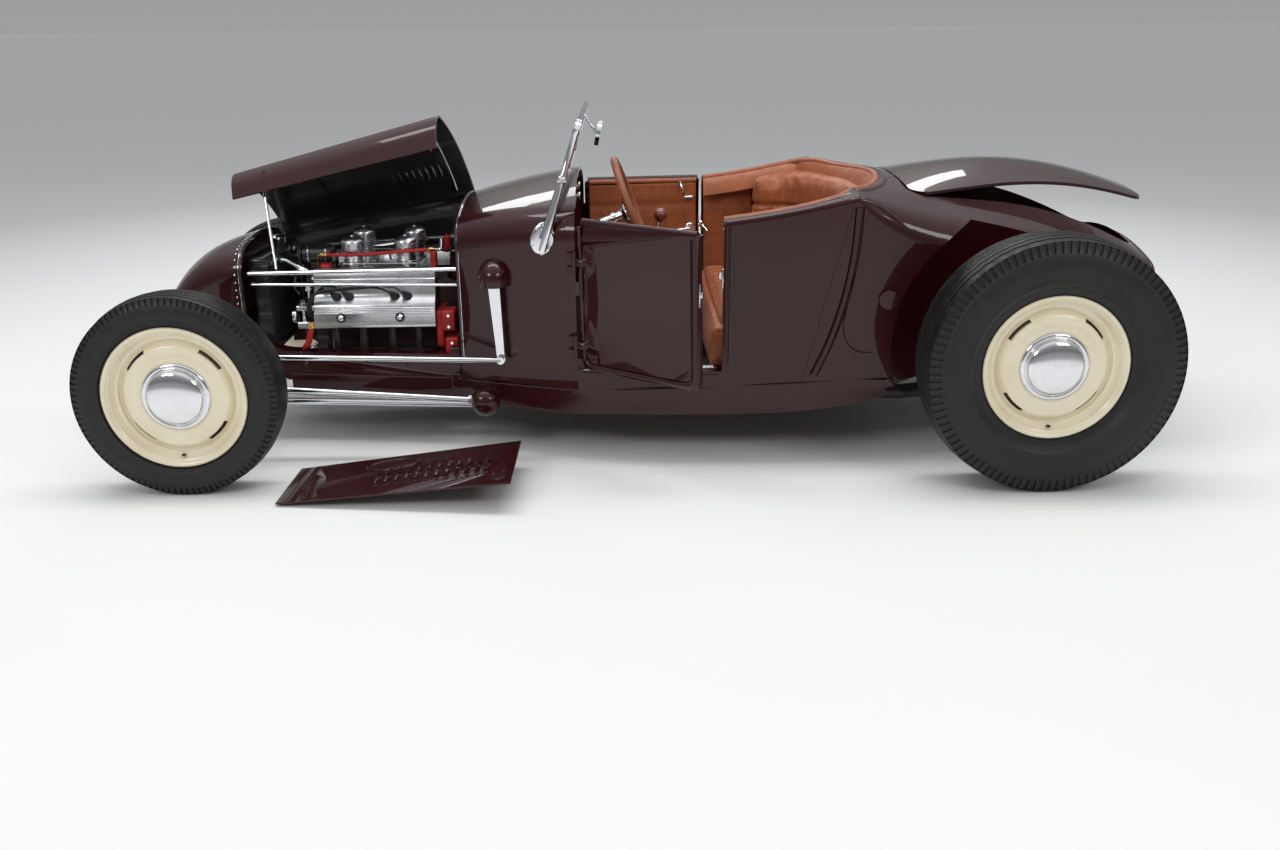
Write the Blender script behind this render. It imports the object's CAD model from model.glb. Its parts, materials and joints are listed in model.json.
"""Street rod roadster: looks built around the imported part, in metres.

X runs rearwards from the front axle, Y to the car's right and Z up from the floor.
"""
import json
import math

import bpy
from mathutils import Matrix, Vector


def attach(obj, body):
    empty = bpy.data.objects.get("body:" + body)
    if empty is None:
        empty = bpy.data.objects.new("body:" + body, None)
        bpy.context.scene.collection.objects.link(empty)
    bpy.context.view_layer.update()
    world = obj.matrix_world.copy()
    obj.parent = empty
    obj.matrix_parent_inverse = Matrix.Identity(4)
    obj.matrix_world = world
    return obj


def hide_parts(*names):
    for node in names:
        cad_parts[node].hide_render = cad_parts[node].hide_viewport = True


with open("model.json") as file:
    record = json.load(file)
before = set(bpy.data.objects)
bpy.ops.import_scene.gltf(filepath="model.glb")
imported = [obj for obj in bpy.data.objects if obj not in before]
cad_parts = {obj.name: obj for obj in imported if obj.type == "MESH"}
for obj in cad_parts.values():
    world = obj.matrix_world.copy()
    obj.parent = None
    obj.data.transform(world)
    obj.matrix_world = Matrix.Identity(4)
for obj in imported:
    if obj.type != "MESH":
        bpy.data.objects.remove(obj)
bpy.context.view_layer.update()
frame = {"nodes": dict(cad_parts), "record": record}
nodes = frame["nodes"]


# ---- shader maths -------------------------------------------------------------------------

class Link:
    """A shader socket that takes part in Python sums."""

    def __init__(self, tree, socket):
        self.tree = tree
        self.socket = socket

    def _math(self, operation, *values):
        return self.tree.node("ShaderNodeMath", {"operation": operation}, *values)

    def __add__(self, other):
        return self._math("ADD", self, other)

    def __mul__(self, other):
        return self._math("MULTIPLY", self, other)

    __radd__ = __add__
    __rmul__ = __mul__

    def ramp(self, low, high, start=0.0, end=1.0):
        return self.tree.node("ShaderNodeMapRange", {"clamp": True}, self, low, high, start, end)


class Tree:
    """A node tree, and the one way nodes are made in it."""

    def __init__(self, tree):
        self.tree = tree

    def node(self, kind, settings, *values, output=0, **named):
        made = self.tree.nodes.new(kind)
        for key, value in settings.items():
            if key == "stops":
                self._stops(made.color_ramp, value)
            else:
                setattr(made, key, value)
        for index, value in enumerate(values):
            self.feed(made.inputs[index], value)
        for key, value in named.items():
            self.feed(made.inputs[key.replace("_", " ")], value)
        return Link(self, made.outputs[output])

    def _stops(self, ramp, stops):
        while len(ramp.elements) < len(stops):
            ramp.elements.new(0.5)
        for element, (position, colour) in zip(ramp.elements, stops):
            element.position = position
            element.color = (*colour, 1)

    def feed(self, socket, value):
        if value is None:
            return
        if isinstance(value, Link):
            self.tree.links.new(value.socket, socket)
        elif isinstance(value, tuple) and len(value) == 3 and socket.type == "RGBA":
            socket.default_value = (*value, 1)
        else:
            socket.default_value = value


class Finish(Tree):
    """One material: its principled shader and the nodes that feed it."""

    def __init__(self, name, **sockets):
        self.material = bpy.data.materials.new(name)
        self.material.use_nodes = True
        super().__init__(self.material.node_tree)
        self.shader = self.tree.nodes["Principled BSDF"]
        for socket, value in sockets.items():
            self.set(socket.replace("_", " "), value)

    def set(self, socket, value):
        self.feed(self.shader.inputs[socket], value)

    def place(self, scale=(1, 1, 1)):
        """Object coordinates, stretched."""
        coordinate = self.node("ShaderNodeTexCoord", {}, output=3)
        return self.node("ShaderNodeMapping", {}, coordinate, None, None, scale)

    def noise(self, scale, detail=3.0, stretch=(1, 1, 1)):
        return self.node("ShaderNodeTexNoise", {}, Vector=self.place(stretch), Scale=scale, Detail=detail)

    def mix(self, factor, first, second):
        """A colour between two, through the Mix node's colour sockets, its last two."""
        numbers_and_vectors = (None,) * 5
        return self.node("ShaderNodeMix", {"data_type": "RGBA"}, factor, *numbers_and_vectors, first, second,
            output=2)

    def bump(self, height, strength=0.3, distance=0.001):
        self.set("Normal", self.node("ShaderNodeBump", {}, Strength=strength, Distance=distance,
            Height=height))


# ---- finishes -----------------------------------------------------------------------------

def maroon_paint():
    """Deep maroon lacquer with a fine flake under a hard clear coat."""
    paint = Finish("maroon_lacquer", Metallic=0.1, Roughness=0.35, Specular_IOR_Level=0.15, Coat_Weight=1.0,
        Coat_Roughness=0.015, Coat_IOR=1.38)
    flake = paint.noise(2600.0, 2.0).ramp(0.45, 0.75)
    drift = paint.noise(3.0, 2.0).ramp(0.35, 0.65)
    deep = paint.mix(drift, (0.0200, 0.0009, 0.0018), (0.0270, 0.0012, 0.0024))
    paint.set("Base Color", paint.mix(flake * 0.5, deep, (0.070, 0.0030, 0.0058)))
    paint.bump(paint.noise(240.0, 2.0), 0.015, 0.0003)
    return paint.material


def drifting(name, low, high, drift, haze=None, grain=None, stretch=(1, 1, 1), **sockets):
    """A finish between two tones: drift is the noise's scale, detail, start and end, haze what it
    adds to the roughness and the roughness itself, and grain a fine bump's scale, strength and height."""
    made = Finish(name, **sockets)
    cloud = made.noise(*drift[:2], stretch).ramp(*drift[2:])
    made.set("Base Color", made.mix(cloud, low, high))
    if haze:
        made.set("Roughness", cloud * haze[0] + haze[1])
    if grain:
        made.bump(made.noise(grain[0], 2.0), *grain[1:])
    return made.material


def shade(colour, factor):
    """A colour made darker or lighter."""
    return tuple(c * factor for c in colour)


def plated(name, tint, roughness):
    """Bright plated metal with the faint haze of a cloth."""
    return drifting(name, tint, shade(tint, 0.93), (38.0, 4.0, 0.4, 0.7), (0.05, roughness), Metallic=1.0)


def enamel(name, base, roughness):
    """Chassis enamel under a thin clear coat."""
    return drifting(name, base, shade(base, 1.7), (18.0, 4.0, 0.35, 0.7), None, (300.0, 0.04, 0.0003),
        Roughness=roughness, Coat_Weight=0.7, Coat_Roughness=0.06)


def hose_rubber(name, base):
    """Matt rubber of hoses and boots."""
    return drifting(name, base, shade(base, 1.8), (60.0, 3.0, 0.3, 0.7), None, (700.0, 0.1, 0.0003),
        Roughness=0.55)


def polished_alloy():
    """Hand-polished aluminium with fine lengthways lines."""
    metal = Finish("polished_aluminium", Metallic=1.0)
    lines = metal.noise(60.0, 4.0, (0.15, 6, 6))
    cloud = metal.noise(14.0, 3.0).ramp(0.35, 0.7)
    metal.set("Base Color", metal.mix(cloud, (0.74, 0.74, 0.75), (0.60, 0.60, 0.62)))
    metal.set("Roughness", lines * 0.14 + 0.21)
    metal.bump(lines, 0.04, 0.0004)
    return metal.material


def casting_paint(name, base):
    """Painted casting: a sandy skin with rubbed high spots."""
    metal = Finish(name, Metallic=0.3)
    sand = metal.noise(520.0, 3.0)
    cloud = metal.noise(22.0, 4.0).ramp(0.35, 0.7)
    metal.set("Base Color", metal.mix(cloud, base, shade(base, 1.8)))
    metal.set("Roughness", sand * 0.25 + 0.35)
    metal.bump(sand, 0.25, 0.0006)
    return metal.material


def saddle_leather(name, base):
    """Saddle-brown hide: pebbled grain, small creases and a worn, lighter crown."""
    hide = Finish(name, Sheen_Weight=0.08, Specular_IOR_Level=0.45)
    pebble = hide.node("ShaderNodeTexVoronoi", {"feature": "DISTANCE_TO_EDGE"}, Vector=hide.place(),
        Scale=420.0)
    crease = hide.noise(30.0, 5.0).ramp(0.42, 0.6)
    tone = hide.mix(crease, shade(base, 0.90), shade(base, 1.12))
    hide.set("Base Color", hide.mix(pebble.ramp(0.0, 0.08, 0.35, 0.0), tone, shade(base, 0.5)))
    hide.set("Roughness", crease * -0.06 + 0.40)
    hide.bump(pebble.ramp(0.0, 0.25) + crease * 0.4, 0.22, 0.0007)
    return hide.material


def loop_carpet():
    """Short brown loop pile."""
    pile = Finish("loop_carpet", Roughness=0.95, Sheen_Weight=0.3)
    tuft = pile.node("ShaderNodeTexVoronoi", {}, Vector=pile.place(), Scale=330.0)
    patch = pile.noise(14.0, 3.0).ramp(0.35, 0.7)
    tone = pile.mix(patch, (0.075, 0.026, 0.013), (0.11, 0.042, 0.022))
    pile.set("Base Color", pile.mix(tuft.ramp(0.1, 0.8), tone, (0.03, 0.011, 0.006)))
    pile.bump(tuft, 0.8, 0.003)
    return pile.material


MAROON = maroon_paint()
CREAM = drifting("cream_enamel", (0.79, 0.70, 0.50), (0.84, 0.77, 0.58), (9.0, 3.0, 0.3, 0.7), None,
    (160.0, 0.03, 0.0004), Roughness=0.28, Coat_Weight=0.8, Coat_Roughness=0.05)
CHROME = plated("bright_plating", (0.80, 0.81, 0.83), 0.07)
BRASS = plated("turned_brass", (0.70, 0.47, 0.16), 0.18)
STEEL = plated("turned_steel", (0.60, 0.60, 0.61), 0.24)
ALLOY = polished_alloy()
BLACK = enamel("black_enamel", (0.012, 0.012, 0.013), 0.25)
STEEL_DARK = enamel("dark_core", (0.020, 0.020, 0.021), 0.45)
# Dead black in the shut lines.
GAP = drifting("shut_line", (0.0015, 0.0008, 0.0008), (0.004, 0.003, 0.003), (200.0, 3.0, 0.4, 0.8),
    (0.1, 0.85), Specular_IOR_Level=0.05)
IRON = casting_paint("painted_casting", (0.028, 0.010, 0.010))
RED = casting_paint("red_enamel", (0.30, 0.012, 0.012))
# Dark satin coating on the exhaust pipes.
HEADER = drifting("header_coating", (0.035, 0.033, 0.032), (0.075, 0.068, 0.062), (30.0, 4.0, 0.3, 0.7),
    (0.2, 0.34), (260.0, 0.1, 0.0004), Metallic=0.6)
TYRE = drifting("tyre_rubber", (0.0065, 0.0065, 0.007), (0.012, 0.0116, 0.0112), (26.0, 4.0, 0.3, 0.7),
    (0.12, 0.42), (900.0, 0.12, 0.0004), Specular_IOR_Level=0.42)
RUBBER = hose_rubber("black_rubber", (0.012, 0.012, 0.012))
RED_HOSE = hose_rubber("red_hose", (0.32, 0.010, 0.012))
LEATHER = saddle_leather("saddle_leather", (0.345, 0.094, 0.030))
RIM_LEATHER = saddle_leather("rim_leather", (0.26, 0.076, 0.028))
# Streaky brown moulded knob.
KNOB = drifting("brown_knob", (0.10, 0.022, 0.010), (0.22, 0.060, 0.026), (90.0, 4.0, 0.35, 0.65), None,
    (400.0, 0.03, 0.0002), (1, 1, 3), Roughness=0.22, Coat_Weight=0.6, Coat_Roughness=0.04)
CARPET = loop_carpet()
GLASS = drifting("safety_glass", (0.62, 0.70, 0.67), (0.70, 0.76, 0.74), (6.0, 2.0, 0.3, 0.7), Roughness=0.02,
    Alpha=0.16, Specular_IOR_Level=0.7)
DIAL = drifting("dial_cream", (0.72, 0.66, 0.50), (0.80, 0.75, 0.60), (60.0, 2.0, 0.3, 0.7), None,
    (500.0, 0.03, 0.0002), Roughness=0.35, Coat_Weight=0.5, Coat_Roughness=0.05)

# Each slot's finishes; the first one goes on the CAD's own meshes.
SLOTS = {"body_paint": (MAROON,), "wheel_cream": (CREAM, DIAL), "frame_black": (BLACK, STEEL_DARK, GAP),
    "chrome": (CHROME, BRASS, STEEL), "polished_alloy": (ALLOY,), "engine_iron": (IRON, RED),
    "exhaust_steel": (HEADER,), "tyre": (TYRE, RUBBER, RED_HOSE), "leather": (LEATHER,),
    "wheel_rim_leather": (RIM_LEATHER, KNOB), "carpet": (CARPET,), "glass": (GLASS,)}
SLOT_OF = {finish.name: slot for slot, finishes in SLOTS.items() for finish in finishes}
for part in frame["record"]["subparts"]:
    mesh = nodes[part["node"]].data
    mesh.materials.clear()
    mesh.materials.append(SLOTS[part["material_slot"]][0])


# ---- modelling helpers --------------------------------------------------------------------

SIDES = ((-1, "left"), (1, "right"))


def mm(*points, side=1):
    """Points given in millimetres, as metres; side sends their Y to one side of the car."""
    return [(p[0] / 1000, side * p[1] / 1000, *[v / 1000 for v in p[2:]]) for p in points]


def leave():
    """Back to object mode."""
    bpy.ops.object.mode_set(mode="OBJECT")


def clear():
    """Object mode with nothing selected."""
    if bpy.context.object and bpy.context.object.mode != "OBJECT":
        leave()
    bpy.ops.object.select_all(action="DESELECT")


def take(piece):
    """Makes a piece the only selected one, and the active one."""
    clear()
    piece.select_set(True)
    bpy.context.view_layer.objects.active = piece


def edit():
    """Edit mode on the active piece, with everything selected."""
    bpy.ops.object.mode_set(mode="EDIT")
    bpy.ops.mesh.select_all(action="SELECT")


def pick(piece, wanted):
    """Edit mode with the faces selected for which wanted(face) holds."""
    edit()
    bpy.ops.mesh.select_mode(type="FACE")
    bpy.ops.mesh.select_all(action="DESELECT")
    leave()
    for face in piece.data.polygons:
        face.select = bool(wanted(face))
    bpy.ops.object.mode_set(mode="EDIT")


def settle(piece):
    """Puts the piece's place, turn and size into its mesh."""
    take(piece)
    bpy.ops.object.transform_apply(location=True, rotation=True, scale=True)


MERGE_WITHIN = 0.00002


def outward(piece):
    """Merges doubles and turns the faces outwards."""
    take(piece)
    edit()
    bpy.ops.mesh.remove_doubles(threshold=MERGE_WITHIN)
    bpy.ops.mesh.normals_make_consistent(inside=False)
    leave()


def modify(piece, kind, **settings):
    """Adds one modifier and applies it."""
    take(piece)
    modifier = piece.modifiers.new(kind.lower(), kind)
    for key, value in settings.items():
        setattr(modifier, key, value)
    bpy.ops.object.modifier_apply(modifier=modifier.name)


CRISP, SOFT = 35, 60


def dress(piece, name, finish, degrees=CRISP, body="chassis"):
    """Names a piece, gives it its finish and slot, and lets it ride on a body. Its shading is smooth,
    with the edges kept crisp that are sharper than the degrees."""
    settle(piece)
    piece.name = name
    piece.data.name = name
    piece.data.materials.clear()
    piece.data.materials.append(finish)
    take(piece)
    bpy.ops.object.shade_smooth_by_angle(angle=math.radians(degrees))
    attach(piece, body)


def copy_of(piece, matrix):
    """A copy with its own mesh, moved by a matrix."""
    twin = piece.copy()
    twin.data = piece.data.copy()
    bpy.context.scene.collection.objects.link(twin)
    twin.data.transform(matrix)
    return twin


def node_copy(name, node):
    """A piece with its own copy of a CAD node's mesh."""
    piece = bpy.data.objects.new(name, nodes[node].data.copy())
    bpy.context.scene.collection.objects.link(piece)
    return piece


def mirrored(piece, side):
    """Takes a piece made for the right side over to the side that is asked for."""
    if side < 0:
        piece.data.transform(Matrix.Scale(-1, 4, (0, 1, 0)))
        outward(piece)
    return piece


def turns(count):
    """Angles at even steps round a circle."""
    return [math.tau * index / count for index in range(count)]


def joined(pieces):
    """Joins pieces into the first one."""
    clear()
    for piece in pieces:
        piece.select_set(True)
    bpy.context.view_layer.objects.active = pieces[0]
    bpy.ops.object.join()
    return bpy.context.view_layer.objects.active


def pulled_ring(profile, segments):
    """A ring pulled and resized along +Z through (radius, height) points."""
    clear()
    first_radius, first_height = profile[0]
    bpy.ops.mesh.primitive_circle_add(vertices=segments, radius=max(first_radius, 1e-5),
        location=(0, 0, first_height))
    piece = bpy.context.active_object
    settle(piece)
    edit()
    radius, height = max(first_radius, 1e-5), first_height
    for next_radius, next_height in profile[1:]:
        next_radius = max(next_radius, 1e-5)
        bpy.ops.mesh.extrude_edges_move(TRANSFORM_OT_translate={"value": (0, 0, next_height - height)})
        grow = next_radius / radius
        bpy.ops.transform.resize(value=(grow, grow, 1), center_override=(0, 0, next_height))
        radius, height = next_radius, next_height
    leave()
    outward(piece)
    return piece


UP, REARWARDS = (0, 0, 1), (1, 0, 0)


def aim(start, direction):
    """The matrix that takes +Z at the origin to a direction at a place."""
    turn = Vector(direction).to_track_quat("Z", "Y")
    return Matrix.Translation(Vector(start)) @ turn.to_matrix().to_4x4()


def about(pin, angle, axis):
    """A turn about an axis through a pin."""
    return Matrix.Translation(pin) @ Matrix.Rotation(angle, 4, axis) @ Matrix.Translation(-pin)


def turned_piece(profile, place, direction, segments=48):
    """A turned form whose axis starts at a place and runs in a direction."""
    piece = pulled_ring(profile, segments)
    piece.data.transform(aim(place, direction))
    return piece


def round_bar(start, end, radius, segments):
    """A round bar with slightly eased ends."""
    run = Vector(end) - Vector(start)
    length = run.length
    e = min(radius, length) * 0.2
    profile = ((0, 0), (radius - e, 0), (radius, e), (radius, length - e), (radius - e, length), (0, length))
    return turned_piece(profile, start, run, segments)


def soft_box(low, high, bevel=0.003, segments=2):
    """A box with eased edges."""
    clear()
    middle = [(a + b) / 2 for a, b in zip(low, high)]
    bpy.ops.mesh.primitive_cube_add(size=1, location=middle, scale=[b - a for a, b in zip(low, high)])
    piece = bpy.context.active_object
    settle(piece)
    edit()
    bpy.ops.mesh.bevel(offset=bevel, segments=segments, affect="EDGES")
    leave()
    return piece


def bent_tube(points, radius, steps=6, sides=8, close=False):
    """A tube along a smooth line, as a mesh; a point's fourth number scales the radius there."""
    clear()
    curve = bpy.data.curves.new("tube", "CURVE")
    curve.dimensions = "3D"
    spline = curve.splines.new("NURBS")
    spline.points.add(len(points) - 1)
    for point, place in zip(spline.points, points):
        point.co = (*place[:3], 1)
        point.radius = place[3] if len(place) > 3 else 1
    spline.order_u = 3
    spline.use_endpoint_u = not close
    spline.resolution_u = steps
    spline.use_cyclic_u = close
    curve.bevel_depth = radius
    curve.bevel_resolution = max(sides // 4 - 1, 0) if sides > 4 else 0
    curve.use_fill_caps = not close
    piece = bpy.data.objects.new("tube", curve)
    bpy.context.scene.collection.objects.link(piece)
    piece.select_set(True)
    bpy.context.view_layer.objects.active = piece
    bpy.ops.object.convert(target="MESH")
    piece = bpy.context.view_layer.objects.active
    outward(piece)
    return piece


def tube(name, finish, points, radius, steps=6, sides=8, close=False, body="chassis"):
    """A bent tube as a finished piece."""
    dress(bent_tube(points, radius, steps, sides, close), name, finish, SOFT, body)


# ---- wheels and tyres ---------------------------------------------------------------------

RIM_FLANGE, BEAD_SEAT, CAP_R = 0.2195, 0.203, 0.105
WHEELS = (
    # name, place, side, tyre radius, tyre width, rim width
    ("front_left", (0, -0.712, 0.315), -1, 0.315, 0.138, 0.126),
    ("front_right", (0, 0.712, 0.315), 1, 0.315, 0.138, 0.126),
    ("rear_left", (2.639, -0.759, 0.393), -1, 0.393, 0.206, 0.152),
    ("rear_right", (2.639, 0.759, 0.393), 1, 0.393, 0.206, 0.152),
)
TEETH = 100
# The disc lies this far inside the rim's outer edge.
DISC_SET = 0.030


def tyre_profile(radius, width, rim_width):
    """Half the tyre's outline from the tread's middle to the bead: radius and distance out."""
    half, bead = width / 2, rim_width / 2 - 0.0063
    depth = radius - BEAD_SEAT
    shoulder_r, shoulder_y = radius - 0.13 * depth, half * 0.9
    wide_r = BEAD_SEAT + 0.56 * depth
    groove = 0.006
    rib = [(0.0, 0), (0.055, 0), (0.06, 1), (0.11, 1), (0.115, 0), (0.29, 0), (0.295, 1), (0.35, 1),
        (0.355, 0), (0.53, 0), (0.535, 1), (0.59, 1), (0.595, 0), (0.80, 0)]
    points = []
    for share, low in rib:
        y = share * half
        crown = radius - 0.010 * (y / half) ** 2 * (depth / 0.1) - low * groove
        points.append((crown, y))
    points += [(radius - 0.055 * depth, half * 0.865), (shoulder_r, shoulder_y),
        (radius - 0.235 * depth, half * 0.945), (radius - 0.245 * depth, half * 0.958),
        (radius - 0.265 * depth, half * 0.958), (radius - 0.275 * depth, half * 0.952),
        (radius - 0.36 * depth, half * 0.99), (wide_r, half), (BEAD_SEAT + 0.46 * depth, half * 0.992),
        (BEAD_SEAT + 0.33 * depth, half * 0.955), (BEAD_SEAT + 0.315 * depth, half * 0.960),
        (BEAD_SEAT + 0.30 * depth, half * 0.945), (BEAD_SEAT + 0.21 * depth, bead + 0.010),
        (RIM_FLANGE + 0.006, bead + 0.0055), (RIM_FLANGE + 0.0035, bead + 0.0015), (RIM_FLANGE, bead),
        (BEAD_SEAT + 0.0024, bead),]
    return points


def tyre(radius, width, rim_width):
    """A ribbed cross-ply tyre with a toothed shoulder."""
    half = tyre_profile(radius, width, rim_width)
    profile = [(r, -y) for r, y in reversed(half)] + half[1:]
    piece = pulled_ring(profile + [profile[0]], TEETH * 2)
    depth = radius - BEAD_SEAT
    tooth_low, tooth_high = radius - 0.24 * depth, radius - 0.03 * depth

    def tooth(face):
        centre = face.center
        reach = math.hypot(centre.x, centre.y)
        step = math.floor((math.atan2(centre.y, centre.x) / math.tau + 1) * TEETH * 2)
        return step % 2 == 0 and tooth_low < reach < tooth_high and abs(centre.z) > width * 0.42

    pick(piece, tooth)
    bpy.ops.mesh.extrude_region_shrink_fatten(TRANSFORM_OT_shrink_fatten={"value": -0.0045})
    leave()
    for vertex in piece.data.vertices:
        across, reach = abs(vertex.co.z), math.hypot(vertex.co.x, vertex.co.y)
        if across < width * 0.36 and reach > radius - 0.03:
            step = round((math.atan2(vertex.co.y, vertex.co.x) / math.tau + 1) * TEETH * 2)
            vertex.co.z += 0.0016 * (1 if step % 4 < 2 else -1)
    return piece


def pressed_wheel(rim_width):
    """The pressed steel wheel: rim, dished disc with its ridge, hub bore closed behind."""
    half, face = rim_width / 2, rim_width / 2 - DISC_SET
    drop = BEAD_SEAT - 0.024
    profile = ((0.212, -half), (RIM_FLANGE, -half + 0.001), (RIM_FLANGE, -half + 0.006),
        (BEAD_SEAT + 0.002, -half + 0.007), (BEAD_SEAT - 0.001, -half + 0.026), (drop, -half + 0.034),
        (drop, half - 0.034), (BEAD_SEAT - 0.001, half - 0.026), (BEAD_SEAT + 0.002, half - 0.007),
        (RIM_FLANGE - 0.001, half - 0.006), (RIM_FLANGE, half - 0.003), (RIM_FLANGE - 0.003, half),
        (0.2115, half - 0.0005), (0.2065, half - 0.004), (0.2035, half - 0.010), (0.199, half - 0.0125),
        (0.1965, half - 0.020), (0.190, half - 0.028), (0.1835, half - 0.0385), (0.178, face - 0.012),
        (0.172, face - 0.0135), (0.166, face - 0.008), (0.161, face + 0.001), (0.155, face + 0.0065),
        (0.1485, face + 0.008), (0.143, face + 0.0062), (0.138, face + 0.0055), (0.125, face + 0.0085),
        (0.112, face + 0.0105), (0.106, face + 0.008), (0.09, face + 0.0035), (0.05, face + 0.001),
        (0.0, face + 0.001), (0.0, face - 0.008), (0.10, face - 0.006), (0.118, face + 0.002),
        (0.138, face - 0.003), (0.150, face - 0.002), (0.168, face - 0.020), (0.1735, face - 0.022),
        (0.1735, -half + 0.034), (0.195, -half + 0.025), (0.199, -half + 0.003), (0.212, -half),)
    return pulled_ring(profile, 96)


def cut_slots(wheel, rim_width):
    """Four thin arc slots round the disc's ridge, pressed into the metal."""
    face = rim_width / 2 - DISC_SET

    def in_slot(polygon):
        x, y, z = polygon.center
        reach, turn = math.hypot(x, y), math.degrees(math.atan2(y, x)) % 90
        return 0.1555 < reach < 0.1635 and 29 < turn < 61 and z > face - 0.012

    pick(wheel, in_slot)
    bpy.ops.mesh.inset(thickness=0.0014)
    bpy.ops.mesh.extrude_region_move(TRANSFORM_OT_translate={"value": (0, 0, -0.009)})
    leave()
    return [polygon.index for polygon in wheel.data.polygons if polygon.select]


def plated_cap(rim_width):
    """Plated hub cap: a rolled edge, a groove and a full dome."""
    face = rim_width / 2 - DISC_SET
    dome = [(0.086 * math.cos(a), 0.0215 + 0.021 * math.sin(a))
        for a in [math.radians(8 + 82 * i / 9) for i in range(10)]]
    profile = [(0.101, 0.002), (0.1045, 0.004), (CAP_R, 0.0075), (0.104, 0.0115), (0.1005, 0.0145),
        (0.0955, 0.0160), (0.0915, 0.0155), (0.0895, 0.0140), (0.0880, 0.0150), (0.0868, 0.0195)]
    profile += [(r, h) for r, h in dome[:-1]] + [(0.0, dome[-1][1])]
    return pulled_ring([(r, face + h) for r, h in profile], 96)


def brake_disc(rim_width):
    """The brake disc inside the wheel, with its bell and hub."""
    half, inner = rim_width / 2, -rim_width / 2 - 0.026
    return pulled_ring(((0.030, inner), (0.135, inner), (0.138, inner + 0.002), (0.138, inner + 0.010),
        (0.135, inner + 0.012), (0.064, inner + 0.012), (0.060, inner + 0.022), (0.044, inner + 0.026),
        (0.044, half - 0.034), (0.030, half - 0.034), (0.030, inner)), 64)


def valve_stem(rim_width):
    """The rubber valve stem through the disc."""
    half = rim_width / 2
    return round_bar((0, -0.192, half - 0.040), (0, -0.184, half - 0.012), 0.0042, 12)


def build_wheels():
    """All four wheels with tyres, caps, valves, slots and brake discs."""
    for name, place, side, radius, width, rim_width in WHEELS:
        body = "wheel_" + name
        rubber = tyre(radius, width, rim_width)
        steel = pressed_wheel(rim_width)
        cut = cut_slots(steel, rim_width)
        made = ((rubber, "tyre_ribbed_", TYRE, 28, "tyre_"), (steel, "wheel_pressed_", CREAM, 40, "wheel_"),
            (plated_cap(rim_width), "hub_cap_", CHROME, 40, "wheel_"),
            (brake_disc(rim_width), "brake_disc_", STEEL, 30, None),
            (valve_stem(rim_width), "valve_stem_", RUBBER, CRISP, None),)
        for piece, kind, finish, degrees, stands_for in made:
            piece.data.transform(aim(place, (0, side, 0)))
            dress(piece, kind + name, finish, degrees, body)
            if stands_for:
                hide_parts(stands_for + name)
        steel.data.materials.append(BLACK)
        for index in cut:
            steel.data.polygons[index].material_index = 1


# ---- places on the body -------------------------------------------------------------------

def cabin_edge(inset, step=24):
    """The cabin opening's plan from the left door round to the right, as (x, y) points."""
    half, rear, corner = 0.528 - inset, 2.236 - inset, 1.990
    run = [(1.672, -half), (1.75, -half), (1.84, -half), (1.93, -half)]
    reach = rear - corner
    radius = (half * half + reach * reach) / (2 * reach)
    spread = math.asin(half / radius)
    arc = []
    for index in range(step + 1):
        turn = -spread + 2 * spread * index / step
        arc.append((rear - radius + radius * math.cos(turn), radius * math.sin(turn)))
    arc = [point for point in arc if abs(point[1]) < half - 0.075]
    bend_left = (2.035, -half + 0.018)
    bend_right = (2.035, half - 0.018)
    return run + [bend_left] + arc + [bend_right] + [(x, -y) for x, y in reversed(run)]


def body_top(x, y):
    """Height of the body's rim near the cabin opening."""
    for node in ("tub", "rear_deck"):
        found, place, _, _ = nodes[node].ray_cast(Vector((x, y, 1.5)), Vector((0, 0, -1)))
        if found and place.z > 0.7:
            return place.z
    return None


def rim_line(inset, drop):
    """The cabin rim's line in space, at an inset from its edge and a drop from its top."""
    line = []
    for (x, y), (u, v) in zip(cabin_edge(inset), cabin_edge(-0.012)):
        top = body_top(u, v)
        if top is not None:
            line.append((x, y, top - drop))
    return line


# ---- cabin trim ---------------------------------------------------------------------------

SEAT_PITCH = 0.062
CUSHION_FRONT, CUSHION_SIDE, BACK_SEAM = 1.668, 0.468, 0.700
BOARD_THICKNESS, BOARD_SEAMS, STITCH_DEPTH = 0.0125, (0.700, 0.690), 0.0035
PAD_FRAMES = 10
PAD_GRID, QUICK_PAD_GRID = 0.014, 0.0075


def cloth_pad(piece, pressure, cap, held):
    """Swells a closed form with cloth pressure; points for which held(co) holds stay."""
    take(piece)
    rest = [vertex.co.copy() for vertex in piece.data.vertices]
    pins = piece.vertex_groups.new(name="pins")
    pins.add([i for i, co in enumerate(rest) if held(co)], 1.0, "REPLACE")
    cloth = piece.modifiers.new("cloth", "CLOTH")
    cloth.settings.vertex_group_mass = "pins"
    cloth.settings.use_pressure = True
    cloth.settings.uniform_pressure_force = pressure
    cloth.settings.effector_weights.gravity = 0.0
    cloth.settings.quality = 3
    cloth.settings.tension_stiffness = 12
    cloth.settings.compression_stiffness = 12
    cloth.settings.bending_stiffness = 0.6
    cloth.collision_settings.use_collision = False
    cloth.point_cache.frame_start = 1
    cloth.point_cache.frame_end = PAD_FRAMES
    for step in range(1, PAD_FRAMES + 1):
        bpy.context.scene.frame_set(step)
    bpy.ops.object.modifier_apply(modifier="cloth")
    bpy.context.scene.frame_set(1)
    for vertex, start in zip(piece.data.vertices, rest):
        shift = vertex.co - start
        if shift.length > cap:
            vertex.co = start + shift * (cap / shift.length)
    piece.vertex_groups.clear()


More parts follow.
